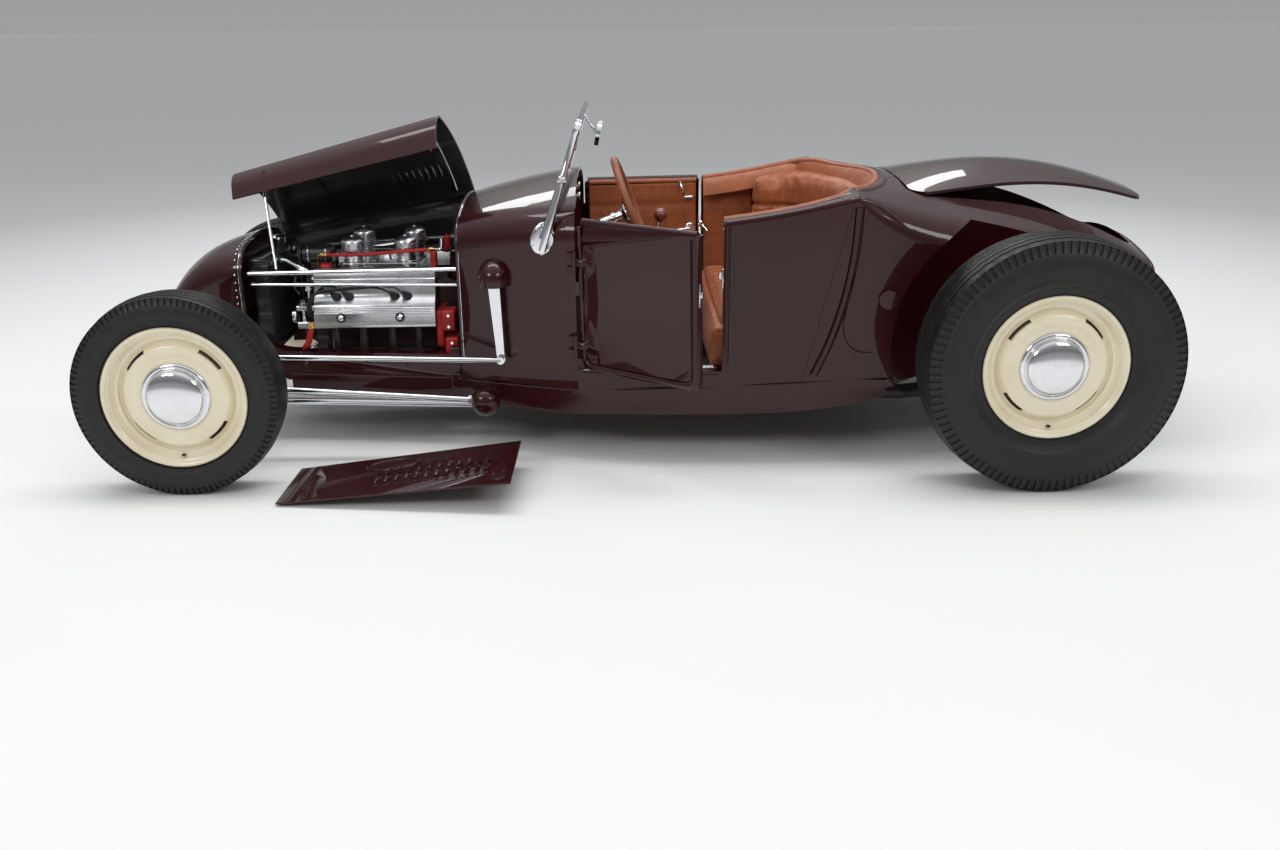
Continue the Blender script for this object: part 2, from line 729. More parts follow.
def stuffed(name, node, shrink, pressure, cap, held):
    """A pad grown from a node's own closed form."""
    piece = node_copy(name, node)
    outward(piece)
    modify(piece, "REMESH", mode="VOXEL", voxel_size=PAD_GRID,
        adaptivity=0.0)
    modify(piece, "SMOOTH", factor=0.5, iterations=6)
    modify(piece, "DISPLACE", strength=-shrink, mid_level=0.0)
    cloth_pad(piece, pressure, cap, held)
    modify(piece, "SUBSURF", levels=1, render_levels=1)
    return piece


def furrow(distance, width):
    """How deep a sewn seam pulls at a distance from it, from 0 to 1."""
    share = min(abs(distance) / width, 1.0)
    return (1 - share) ** 2


def carve(piece, depth_at):
    """Moves each point inwards along its normal by depth_at(co, normal)."""
    moves = [(vertex, depth_at(vertex.co, vertex.normal)) for vertex in piece.data.vertices]
    for vertex, depth in moves:
        if depth:
            vertex.co = vertex.co - vertex.normal * depth


def seat_cushion():
    """Bench cushion with fore-and-aft pleats, a front roll and its piping."""
    piece = stuffed("seat_cushion_pleated", "seat_cushion", 0.010, 4.0, 0.024, lambda co: co.z < 0.31)

    def pleats(co, normal):
        if normal.z < 0.2 or co.z < 0.36:
            return 0.0
        border = min(1.0, max(0.0, (co.x - CUSHION_FRONT) / 0.012), max(0.0, (0.462 - abs(co.y)) / 0.012))
        phase = (co.y / SEAT_PITCH) % 1.0 - 0.5
        pleat = furrow(phase * SEAT_PITCH, 0.022) * 0.010 * border
        front = furrow(co.x - CUSHION_FRONT, 0.016) * 0.012 * (abs(co.y) < CUSHION_SIDE)
        edge = furrow(abs(co.y) - CUSHION_SIDE, 0.014) * 0.010 * (co.x > 1.66)
        return max(pleat, front, edge)

    carve(piece, pleats)
    dress(piece, "seat_cushion_pleated", LEATHER, 80)
    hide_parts("seat_cushion")


def seat_back():
    """Wrap-round back: pleats below a smooth rolled crest."""
    piece = stuffed("seat_back_rolled", "seat_back", 0.010, 4.0, 0.020, lambda co: co.z < 0.465)

    def pleats(co, normal):
        level = co.z - BACK_SEAM
        seam = furrow(level, 0.016) * 0.012
        if abs(normal.z) > 0.75:
            return 0.0
        around = math.atan2(co.y, co.x - 1.72) * 0.42
        phase = (around / SEAT_PITCH) % 1.0 - 0.5
        fade = min(1.0, max(0.0, -level / 0.014), max(0.0, (co.z - 0.47) / 0.014))
        pleat = furrow(phase * SEAT_PITCH, 0.020) * 0.009 * fade * (co.x > 1.90)
        return max(seam, pleat)

    carve(piece, pleats)
    dress(piece, "seat_back_rolled", LEATHER, 80)
    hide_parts("seat_back")


def sheet(columns, rows, thickness, place):
    """A sheet of faces in columns and rows; place(u, v) gives its points, u and v from 0 to 1."""
    clear()
    bpy.ops.mesh.primitive_grid_add(x_subdivisions=columns, y_subdivisions=rows, size=2)
    piece = bpy.context.active_object
    for vertex in piece.data.vertices:
        vertex.co = place((vertex.co.x + 1) / 2, (vertex.co.y + 1) / 2)
    settle(piece)
    modify(piece, "SOLIDIFY", thickness=thickness, offset=0.0)
    outward(piece)
    return piece


def trim_panel(corners, thickness, columns=60):
    """A padded board: a grid over four corners, thickened and eased at its edges."""
    low_a, low_b, high_b, high_a = [Vector(corner) for corner in corners]
    piece = sheet(columns, 40, thickness, lambda u, v: low_a.lerp(low_b, u).lerp(high_a.lerp(high_b, u), v))
    modify(piece, "BEVEL", width=thickness * 0.42, segments=3, limit_method="ANGLE")
    return piece


def panel_seams(piece, levels, uprights, reach):
    """Sewn lines across a trim board at heights and stations."""
    def seams(co, normal):
        if abs(normal.y) < 0.5:
            return 0.0
        across = furrow(min((abs(co.z - level) for level in levels), default=1.0), 0.010)
        along = furrow(min((abs(co.x - place) for place in uprights), default=1.0), 0.010)
        return max(across, along) * reach
    carve(piece, seams)


DOOR_STATIONS = mm((1206, 520, 504), (1668, 570, 552))
BOARD_DEPTH = 0.0465


def door_half(x, z):
    """Half width of the body's outer skin beside the doors."""
    (x0, half0, foot0), (x1, half1, foot1) = DOOR_STATIONS
    share = (x - x0) / (x1 - x0)
    half, foot = half0 + share * (half1 - half0), foot0 + share * (foot1 - foot0)
    return foot + (z - 0.2323) / (0.812 - 0.2323) * (half - foot)


DOOR_PIN, DOOR_AJAR = Vector((1.203, -0.530, 0)), math.radians(-32)


def door_turn(side):
    """How the door stands: the left one is ajar."""
    if side > 0:
        return Matrix.Identity(4)
    return about(DOOR_PIN, DOOR_AJAR, "Z")


def hang(piece, kind, side, finish, degrees=CRISP):
    """Dresses a door's piece, which was made for the closed door, where the door stands."""
    name = dict(SIDES)[side]
    piece.data.transform(door_turn(side))
    dress(piece, "door_%s_%s" % (kind, name), finish, degrees, "door_" + name)


def door_skins():
    """Each door's pressing, trimmed to the depth of its board, with the board's top roll."""
    for side, name in SIDES:
        node = "door_" + name
        skin = node_copy("door_skin_" + name, node)
        skin.data.transform(door_turn(side).inverted())
        outward(skin)
        front, rear = [Vector((x, side * (door_half(x, 0.70) - BOARD_DEPTH), 0.70)) for x in (1.21, 1.66)]
        low = Vector((1.21, side * (door_half(1.21, 0.40) - BOARD_DEPTH), 0.40))
        facing = (rear - front).cross(low - front).normalized()
        if facing.y * side > 0:
            facing = -facing
        edit()
        bpy.ops.mesh.bisect(plane_co=front, plane_no=facing, use_fill=True, clear_outer=True)
        leave()
        outward(skin)
        hang(skin, "skin", side, MAROON, 40)
        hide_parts(node)
        line = [(x, side * (door_half(x, 0.785) - 0.0375), 0.7835) for x in (1.228, 1.36, 1.50, 1.646)]
        hang(bent_tube(line, 0.0110, 5, 16), "leather_roll", side, LEATHER, SOFT)


def door_trim():
    """Leather boards inside both doors, with sewn seams, a plated pull and the inner handle."""
    for side, _ in SIDES:
        stand = 0.034 + 0.0068
        corners = [(x, side * (door_half(x, z) - stand), z) for x, z in ((1.226, 0.335), (1.646, 0.335),
            (1.646, 0.776), (1.226, 0.776))]
        board = trim_panel(corners, BOARD_THICKNESS)
        panel_seams(board, BOARD_SEAMS, (1.60,), STITCH_DEPTH)
        hang(board, "board_door", side, LEATHER, SOFT)
        plate = door_half(1.59, 0.75) - 0.054
        strap = bent_tube([(1.583, side * (plate + 0.012), 0.781), (1.588, side * (plate - 0.014), 0.768),
            (1.592, side * (plate - 0.019), 0.748), (1.597, side * (plate - 0.012), 0.728),
            (1.600, side * plate, 0.720)], 0.0042, 6, 12)
        knob = round_bar((1.598, side * plate, 0.720), (1.632, side * (plate - 0.004), 0.722), 0.0065, 16)
        hang(joined([strap, knob]), "pull_door", side, CHROME)
        latch = round_bar((1.622, side * (door_half(1.622, 0.6) - 0.053), 0.600),
            (1.622, side * (door_half(1.622, 0.6) - 0.062), 0.600), 0.021, 32)
        lever = round_bar((1.622, side * (door_half(1.622, 0.6) - 0.062), 0.600),
            (1.556, side * (door_half(1.56, 0.6) - 0.064), 0.592), 0.0055, 16)
        hang(joined([latch, lever]), "handle_door", side, CHROME)


def quarter_trim():
    """Leather boards on the body between the doors and the seat back."""
    for side, name in SIDES:
        corners = [(x, side * y, z) for x, y, z in ((1.676, 0.512, 0.31), (1.868, 0.512, 0.31),
            (1.868, 0.534, 0.800), (1.676, 0.534, 0.782))]
        board = trim_panel(corners, BOARD_THICKNESS, columns=30)
        panel_seams(board, BOARD_SEAMS, (), STITCH_DEPTH)
        dress(board, "quarter_board_" + name, LEATHER, SOFT)


def cabin_band():
    """Upholstered band from the rim roll down behind the seat back's crest."""
    top, foot = rim_line(0.014, 0.006), rim_line(0.052, 0.070)
    last = len(top) - 1

    def place(u, v):
        column = round(u * last)
        swell = math.sin(math.pi * (1 - v)) * 0.010
        return Vector(top[column]).lerp(Vector(foot[column]), 1 - v) + Vector((0, 0, swell))

    band = sheet(last, 6, 0.009, place)
    modify(band, "BEVEL", width=0.0035, segments=3, limit_method="ANGLE")
    modify(band, "SUBSURF", levels=1, render_levels=1)
    dress(band, "cabin_band", LEATHER, SOFT)


def rim_rolls():
    """The painted bead round the cabin and the leather roll inside it."""
    tube("cabin_rim_bead", MAROON, rim_line(-0.0205, 0.0165), 0.0210, 5, 24)
    tube("cabin_rim_roll", LEATHER, rim_line(0.0075, 0.004), 0.0110, 5, 16)
    crest = ((1.676, 0.556, 0.7850, 1.0), (1.75, 0.556, 0.7940, 1.0), (1.85, 0.556, 0.8095, 1.0),
        (1.95, 0.556, 0.8280, 1.0), (2.02, 0.555, 0.8440, 1.0), (2.055, 0.554, 0.8515, 1.05),
        (2.085, 0.552, 0.8530, 1.10), (2.115, 0.550, 0.8455, 1.05), (2.15, 0.548, 0.8240, 1.0),
        (2.20, 0.546, 0.7885, 0.9), (2.26, 0.544, 0.7440, 0.8))
    for side, name in SIDES:
        line = [(x, side * y, z, width) for x, y, z, width in crest]
        tube("cabin_crest_" + name, MAROON, line, 0.0130, 6, 24)
        edge = [(x, side * (door_half(x, 0.79) - 0.017), 0.7905) for x in (1.222, 1.36, 1.50, 1.652)]
        hang(bent_tube(edge, 0.0125, 5, 16), "rim_bead", side, MAROON, SOFT)


# ---- engine bay ---------------------------------------------------------------------------

CARB_BASE = 0.5705
CARB_PLACES = mm((424, -100), (606, -100), (424, 100), (606, 100))


def pulled_outline(points, start, run):
    """A closed outline of (y, z) points pulled along X."""
    clear()
    bpy.ops.mesh.primitive_circle_add(vertices=len(points), radius=1, fill_type="NGON")
    piece = bpy.context.active_object
    for vertex, (y, z) in zip(piece.data.vertices, points):
        vertex.co = (start, y, z)
    edit()
    bpy.ops.mesh.extrude_region_move(TRANSFORM_OT_translate={"value": (run, 0, 0)})
    leave()
    outward(piece)
    return piece


def cover_outline():
    """Cross-section of a valve cover: crest, two upper facets, plug step and ribbed face."""
    crest = [(0.140, 0.534), (0.151, 0.574), (0.157, 0.583), (0.178, 0.589), (0.203, 0.595), (0.213, 0.5952),
        (0.221, 0.591), (0.2265, 0.582), (0.2285, 0.562), (0.2315, 0.560), (0.2375, 0.512), (0.240, 0.505),
        (0.2465, 0.498), (0.2605, 0.4835), (0.2655, 0.4775)]
    top, foot = Vector((0.2665, 0.472)), Vector((0.2752, 0.428))
    along = (foot - top).normalized()
    away = Vector((-along.y, along.x))
    ribs = []
    for index in range(4):
        for step, height in ((0, 0), (0.0009, 0.0019), (0.0029, 0.0019), (0.0038, 0)):
            spot = top + along * (0.001 + index * 0.0056 + step) + away * height
            ribs.append((spot.x, spot.y))
    skirt = mm((275.2, 428), (276.2, 416), (277.2, 413.5), (276.2, 406), (271, 402), (258, 399), (253.5, 430),
        (218, 562))
    return crest + [tuple(top)] + ribs + skirt


def valve_covers():
    """Ribbed polished covers with plug boots, leads and their nuts."""
    for side, name in SIDES:
        cover = pulled_outline([(side * y, z) for y, z in cover_outline()], 0.312, 0.408)
        modify(cover, "BEVEL", width=0.0022, segments=2, limit_method="ANGLE", angle_limit=math.radians(62))
        dress(cover, "valve_cover_ribbed_" + name, ALLOY, 38)
        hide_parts("valve_covers")
        away = Vector((0, side * 0.98, 0.19))
        for x in (0.404, 0.602):
            dress(turned_piece(mm((0, 0), (16.5, 0), (16.5, 2.2), (12.5, 3), (0, 3)),
                (x, side * 0.2736, 0.438), away, 32), "cover_washer_%s_%d" % (name, int(x * 1000)), BLACK)
            dress(turned_piece(mm((0, 2), (10.8, 2), (11.2, 3), (11.2, 8), (8.5, 10.5), (5.5, 12.5),
                (0, 13.5)), (x, side * 0.2738, 0.438), away, 6), "cover_nut_%s_%d" % (name, int(x * 1000)),
                CHROME)
        for x in (0.388, 0.430, 0.585, 0.627):
            dress(turned_piece(mm((0, 0), (16.5, 0), (16.5, 6), (14, 12), (9.5, 26), (6.8, 36), (0, 37)),
                (x, side * 0.2375, 0.500), (-0.35, side * 0.72, 0.60), 24),
                "plug_boot_%s_%d" % (name, int(x * 1000)), RUBBER)
        for index, x in enumerate((0.388, 0.430, 0.585, 0.627)):
            stand = side * (0.2625 + 0.0045 * index)
            crest = 0.531 + 0.006 * (index % 2)
            tube("plug_lead_%s_%d" % (name, index), RUBBER, [(x - 0.012, stand, 0.521),
                (x - 0.026, stand, crest), (x - 0.050, stand, crest + 0.008),
                (0.352 if x < 0.5 else 0.50, stand, crest + 0.010), (0.335, stand, crest - 0.004),
                (0.307 - 0.003 * index, stand, 0.505), (0.300 - 0.003 * index, stand, 0.455),
                (0.300, side * 0.235, 0.425), (0.292, side * 0.150, 0.430)], 0.0036, 5)


def carburettor():
    """One carburettor from its base flange to the ribbed dome, standing on the origin."""
    profile = mm((0, 0), (37, 0), (37, 6), (30, 7), (30, 18), (33.5, 20), (33.5, 30), (32.5, 31), (32.5, 50),
        (35, 52), (35, 56), (32.5, 58), (32.5, 64), (40, 66), (41, 68), (41, 71), (37, 73), (37, 75),
        (39.5, 76.5), (39.5, 79.5), (37.2, 81), (37.2, 84), (39.2, 85.5), (39.2, 88.5), (37, 90), (37, 93),
        (38.5, 94.5), (38, 98), (34, 104.5), (27, 110), (17.5, 113.8), (8, 115.5), (6.5, 115.8), (6.5, 119),
        (0, 120))
    return pulled_ring(profile, 48)


def intake():
    """Ribbed intake casting with four dressed carburettors, their bowls and linkage."""
    log = soft_box((0.350, -0.052, 0.5003), (0.675, 0.052, 0.560), 0.008, 3)
    arms = [soft_box((x - 0.030, -0.128, 0.546), (x + 0.030, 0.128, CARB_BASE), 0.006, 3)
        for x in (0.424, 0.606)]
    fins = [soft_box((0.372 + 0.026 * index, -0.047, 0.556), (0.378 + 0.026 * index, 0.047, 0.566), 0.002, 2)
        for index in range(11)]
    casting = joined([log] + arms + fins)
    dress(casting, "intake_casting", ALLOY, 40)
    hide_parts("carburettors")
    body = carburettor()
    bowl = turned_piece(mm((0, 0), (17, 0), (18.5, 2), (18.5, 24), (16.5, 27), (6, 28), (6, 31), (0, 32)),
        (-0.041, 0, 0.034), UP, 32)
    arm = soft_box((-0.045, -0.008, 0.046), (-0.028, 0.008, 0.056), 0.002, 2)
    screws = [turned_piece(mm((0, 0), (3, 0), (3, 3), (0, 3.6)),
        (0.0325 * math.cos(turn), 0.0325 * math.sin(turn), 0.066), UP, 10) for turn in turns(6)]
    model = joined([body, bowl, arm] + screws)
    for index, (x, y) in enumerate(CARB_PLACES):
        made = copy_of(model, Matrix.Translation((x, y, CARB_BASE)))
        dress(made, "carburettor_%d" % index, ALLOY, 32)
    bpy.data.objects.remove(model)
    for side, name in SIDES:
        link = round_bar((0.395, side * 0.139, 0.596), (0.650, side * 0.139, 0.596), 0.0028, 12)
        ends = [round_bar((x, side * 0.126, 0.596), (x, side * 0.144, 0.596), 0.006, 16)
            for x in (0.424, 0.606)]
        dress(joined([link] + ends), "throttle_rod_" + name, CHROME)


def fuel_line():
    """Red fuel hose along the near carburettors, with brass ends and a plated elbow."""
    run = mm((338, -140, 629), (400, -147.5, 628), (480, -148.5, 630), (560, -148, 636), (640, -146.5, 641),
        (695, -142, 643))
    tube("fuel_hose", RED_HOSE, run, 0.0058, 8, 16)
    for start, end, name in (((0.320, -0.138, 0.629), (0.342, -0.1405, 0.629), "front"),
            ((0.690, -0.1425, 0.643), (0.713, -0.140, 0.643), "rear")):
        run = Vector(end) - Vector(start)
        dress(turned_piece([(0.0, 0.0), (0.0062, 0.0), (0.0082, 0.002), (0.0082, 0.010), (0.0068, 0.012),
            (0.0068, run.length), (0.0, run.length)], start, run, 6 * 4), "fuel_fitting_" + name, BRASS)
    tube("fuel_elbow", CHROME, mm((712, -140, 643), (726, -140, 643), (735, -140, 648), (737, -140, 662),
        (737, -140, 682)), 0.0066, 6, 16)
    tube("fuel_feed", BRASS, mm((322, -138, 629), (312, -136, 628), (306, -132, 612), (306, -120, 580),
        (320, -110, 545)), 0.0040, 6, 12)
    drops = []
    for x in (0.383, 0.565):
        drops.append(bent_tube([(x, -0.1475, 0.629), (x, -0.130, 0.632), (x, -0.112, 0.630)], 0.0042,
            steps=4))
    dress(joined(drops), "fuel_branches", BRASS, SOFT)


def engine_front():
    """Generator, pulleys, belt, water pipes and the radiator's tank, cap and core."""
    dress(turned_piece(mm((0, 0), (30, 0), (34, 3), (34, 16), (35.5, 18), (35.5, 86), (34, 88), (34, 98),
        (28, 103), (0, 104)), (0.240, -0.052, 0.616), REARWARDS, 48), "generator", BLACK)
    dress(soft_box((0.266, -0.080, 0.556), (0.326, -0.024, 0.593), 0.004, 2), "generator_saddle", IRON)
    bands = [turned_piece(mm((35.2, 0), (36.6, 0.5), (36.6, 5), (35.2, 5.5), (35.2, 0)),
        (0.240 + shift, -0.052, 0.616), REARWARDS, 48) for shift in (0.019, 0.080)]
    dress(joined(bands), "generator_bands", CHROME)
    wheels = []
    for y, z, radius in ((-0.052, 0.616, 0.030), (0.0, 0.372, 0.072), (0.075, 0.560, 0.026)):
        wheels.append(turned_piece([(0.0, 0.0), (radius * 0.8, 0.0), (radius, 0.001), (radius, 0.003),
            (radius - 0.006, 0.007), (radius, 0.011), (radius, 0.013), (radius * 0.8, 0.014), (0.0, 0.014)],
            (0.2245, y, z), REARWARDS, 64))
        wheels.append(round_bar((0.230, y, z), (0.242 if z > 0.6 else 0.266, y, z), radius * 0.34, 24))
    dress(joined(wheels), "belt_pulleys", BLACK)
    tube("drive_belt", RUBBER, mm((231.5, -81, 618), (231.5, -70, 643), (231.5, -40, 646), (231.5, 20, 612),
        (231.5, 88, 584), (231.5, 102, 560), (231.5, 92, 500), (231.5, 73, 390), (231.5, 60, 325),
        (231.5, 0, 300), (231.5, -60, 325), (231.5, -76, 400), (231.5, -83, 520)), 0.0052, 8, 8, close=True)
    for side, name in SIDES:
        tube("radiator_pipe_" + name, CHROME, mm((152, 120, 606), (185, 122, 607), (225, 150, 600),
            (270, 176, 580), (318, 180, 556), side=side), 0.0150, 8, 16)
        sleeves = [bent_tube(mm((150, 120, 606), (166, 120.3, 606.8), (184, 124.5, 606.5), side=side), 0.0172,
            5, 16), bent_tube(mm((284, 177.5, 573.5), (300, 179, 565.5), (318, 180, 556), side=side), 0.0172,
            5, 16)]
        dress(joined(sleeves), "radiator_hose_" + name, RUBBER, SOFT)
        clips = []
        for place, run in (((0.160, side * 0.1205, 0.6065), (1, 0, 0)),
                ((0.300, side * 0.1795, 0.566), (0.8, 0, -0.45))):
            clips.append(turned_piece(mm((17, 0), (19, 0.5), (19, 9), (17, 9.5), (17, 0)), place, run, 32))
        dress(joined(clips), "hose_clips_" + name, CHROME)
        dress(turned_piece(mm((0, 0), (26, 0), (26, 6), (18, 10), (18, 30), (0, 32)),
            (0.336, side * 0.183, 0.549), (-0.80, 0, 0.45), 32), "water_neck_" + name, CHROME)
    dress(turned_piece(mm((0, 0), (24.5, 0), (27.5, 3), (27.5, 10), (23.5, 14), (10, 16.5), (0, 17)),
        (0.124, 0.060, 0.6495), UP, 40), "radiator_cap", CHROME)
    dress(soft_box((0.0905, -0.2055, 0.603), (0.1575, 0.2055, 0.6295), 0.009, 3), "radiator_tank", BLACK)
    tubes = [soft_box((0.1498, -0.192 + 0.0128 * k, 0.332), (0.1528, -0.1885 + 0.0128 * k, 0.5895), 0.0008, 1)
        for k in range(30)]
    tubes += [soft_box((0.1500, -0.194, 0.340 + 0.0205 * k), (0.1518, 0.194, 0.3425 + 0.0205 * k), 0.0006, 1)
        for k in range(12)]
    dress(joined(tubes), "radiator_core", STEEL_DARK)


def engine_flanks():
    """Red fittings low beside the block: front hose with its brass end, rear mount blocks."""
    for side, name in SIDES:
        tube("water_hose_" + name, RED_HOSE, mm((300, 266, 405), (296, 268, 392), (290, 266, 370),
            (280, 255, 345), (262, 240, 325), side=side), 0.0105, 6, 16)
        dress(turned_piece(mm((0, 0), (12, 0), (13.5, 2), (13.5, 12), (10.5, 14), (10.5, 24), (0, 25)),
            (0.299, side * 0.266, 0.402), (0.1, 0, 1), 24), "water_union_" + name, BRASS)
        upper = soft_box((0.744, 0.218, 0.392), (0.790, 0.292, 0.462), 0.007, 3)
        lower = soft_box((0.752, 0.224, 0.300), (0.800, 0.300, 0.372), 0.009, 3)
        web = soft_box((0.720, 0.120, 0.330), (0.746, 0.262, 0.455), 0.006, 3)
        blocks = joined([upper, lower, web])
        dress(mirrored(blocks, side), "mount_blocks_" + name, RED, 40)
        bolts = [round_bar((x, side * (y - 0.004), z), (x, side * (y + 0.005), z), 0.0065, 6)
            for x, y, z in ((0.767, 0.292, 0.446), (0.767, 0.292, 0.408), (0.776, 0.300, 0.354),
            (0.776, 0.300, 0.318))]
        dress(joined(bolts), "mount_bolts_" + name, CHROME)


def engine_small():
    """Small plated and red fittings between the radiator and the covers."""
    for side, name in SIDES:
        bits = [round_bar((0.238, side * 0.205, 0.400), (0.300, side * 0.205, 0.400), 0.013, 24),
            round_bar((0.238, side * 0.205, 0.458), (0.306, side * 0.205, 0.458), 0.010, 24),
            turned_piece(mm((0, 0), (17, 0), (17, 6), (12, 8), (12, 18), (0, 19)),
                (0.262, side * 0.205, 0.470), UP, 6),
            turned_piece(mm((0, 0), (15, 0), (15, 6), (11, 8), (11, 22), (0, 23)),
                (0.286, side * 0.205, 0.520), UP, 24),
            round_bar((0.262, side * 0.205, 0.395), (0.262, side * 0.205, 0.480), 0.007, 16),
            round_bar((0.286, side * 0.205, 0.455), (0.286, side * 0.205, 0.525), 0.006, 16),
            turned_piece(mm((0, 0), (19, 0), (21, 4), (21, 12), (14, 15), (0, 16)),
                (0.238, side * 0.205, 0.430), (-1, 0, 0), 32)]
        dress(joined(bits), "water_fittings_" + name, CHROME)
        block = soft_box((0.322, 0.128, 0.5620), (0.356, 0.170, 0.601), 0.006, 3)
        rear = soft_box((0.700, 0.150, 0.5860), (0.722, 0.180, 0.640), 0.005, 3)
        reds = joined([block, rear])
        dress(mirrored(reds, side), "red_fittings_" + name, RED, 40)


def bay_feet():
    """Painted feet that close the corner between the rails and the cowl."""
    for side, name in SIDES:
        foot = soft_box((0.772, 0.300, 0.205), (0.8095, 0.3375, 0.345), 0.006, 3)
        dress(mirrored(foot, side), "cowl_foot_" + name, MAROON, 30)


# ---- bodywork details ---------------------------------------------------------------------

HOOD_PIN = Vector((0.81, 0.358, 0.622))
HOOD_PIN_LINE = Vector((-0.987242, -0.119831, -0.104852))
HOOD_OPEN = math.radians(32)
NOSE_MIDDLE = 0.44
SEAM = mm((2083, 835), (2081, 744), (2072, 660), (2058, 575), (2036, 489), (2010, 410), (1985, 352),
    (1962, 300))
QUARTER_LINE = mm((2064, 560), (2048, 472), (2052, 436), (2064, 405), (2088, 381), (2115, 372), (2160, 372),
    (2236, 366))
BELT_LINE = mm((850, 247), (1000, 246), (1177, 247), (1400, 255), (1614, 264), (1773, 270), (1930, 276),
    (2118, 284), (2220, 282))


def hood_turn():
    """From the closed hood's place to the raised one."""
    return about(HOOD_PIN, HOOD_OPEN, HOOD_PIN_LINE)


def under_hood(x, y, stand=0.0):
    """The point on the raised hood's underside over the closed hood's (x, y)."""
    turn = hood_turn()
    found, place, normal, _ = nodes["hood_top"].ray_cast(turn @ Vector((x, y, 0.35)),
        turn.to_3x3() @ Vector((0, 0, 1)))
    if not found:
        raise ValueError("no hood over x %.3f y %.3f" % (x, y))
    return place + normal * stand


def outer_side(x, z, side, stand=0.0, names=("tub", "rear_deck", "cowl", "frame")):
    """The outermost point of the bodywork at (x, z) on one side."""
    best = None
    for name in names:
        found, place, normal, _ = nodes[name].ray_cast(Vector((x, side * 1.2, z)), Vector((0, -side, 0)))
        if found and (best is None or side * place.y > side * best[0].y):
            best = (place, normal)
    if best is None:
        raise ValueError("no bodywork at x %.3f z %.3f" % (x, z))
    return best[0] + best[1] * stand


def around(node, x, middle, low, high, count, stand=0.0):
    """Points round a hooped panel at one station, from one turn off the vertical to another."""
    points = []
    for index in range(count):
        turn = math.radians(low + (high - low) * index / (count - 1))
        run = Vector((0, math.sin(turn), math.cos(turn)))
        found, place, normal, _ = nodes[node].ray_cast(Vector((x, 0, middle)) + run * 0.9, -run)
        if found:
            points.append(place + normal * stand)
    return points


LINING_STAND = 0.0012


def lining(name, node, dropped):
    """A black skin over a moving panel's faces, less those for which dropped(face, middle) holds."""
    piece = node_copy(name, node)
    outward(piece)
    middle = sum((vertex.co for vertex in piece.data.vertices), Vector()) / len(piece.data.vertices)
    pick(piece, lambda face: dropped(face, middle))
    bpy.ops.mesh.delete(type="FACE")
    leave()
    modify(piece, "DISPLACE", strength=LINING_STAND, mid_level=0.0)
    dress(piece, name, BLACK, 40, node)


def hood_underside():
    """Black lining inside the raised hood, with its pressed louvres and stiffening hoop."""
    lining("hood_lining", "hood_top",
        lambda face, middle: face.normal.dot((middle - face.center).normalized()) < 0.12)
    ridges = []
    for row in (-0.125, 0.125):
        for index in range(9):
            x = 0.545 + 0.024 * index
            ends = [under_hood(x + lean, row + reach, 0.0035) for lean, reach in ((0.0, -0.034), (0.003, 0.0),
                (0.0, 0.034))]
            ridges.append(bent_tube(ends, 0.0036, 4, 8))
    dress(joined(ridges), "hood_louvre_backs", STEEL, 60, "hood_top")
    hoop = [under_hood(0.745, y, 0.006) for y in (-0.318, -0.27, -0.18, -0.08, 0.02, 0.12, 0.20, 0.262)]
    tube("hood_hoop", CHROME, hoop, 0.0042, 6, 12, body="hood_top")
    front_hoop = [under_hood(0.30, y, 0.006) for y in (-0.245, -0.20, -0.12, -0.04, 0.04, 0.12, 0.20)]
    tube("hood_front_hoop", BLACK, front_hoop, 0.0038, 6, 12, body="hood_top")
    lip = [under_hood(0.105 + 0.0685 * k, -(0.222 + 0.0128 * k), 0.003) for k in range(11)]
    tube("hood_lip", CHROME, lip, 0.0030, 4, 8, body="hood_top")


def body_welts():
    """Beads at the nose and the cowl where the hood lands, with the lacing studs."""
    for node, x, middle, span in (("nose", 0.078, NOSE_MIDDLE, 104), ("cowl", 0.817, 0.50, 118)):
        line = around(node, x, middle, -span, span, 41, 0.0008)
        tube("welt_" + node, BLACK, line, 0.0036, 4, 10)
        bright = around(node, x + (0.0045 if node == "cowl" else -0.0055), middle, -span, span, 41, 0.0002)
        tube("welt_edge_" + node, CHROME, bright, 0.0013, 4, 8)
    studs = []
    for index in range(21):
        for turn in (-98 + 4.6 * index, 98 - 4.6 * index):
            point = around("nose", 0.060, NOSE_MIDDLE, turn, turn + 0.01, 2)
            if point:
                flat = Vector((0, point[0].y, point[0].z - NOSE_MIDDLE)).normalized()
                studs.append(turned_piece(mm((3.1, -1), (3.1, 0.5), (2.4, 1.6), (0, 2.2)), point[0], flat,
                    10))
    dress(joined(studs), "lacing_studs", CHROME, 50)


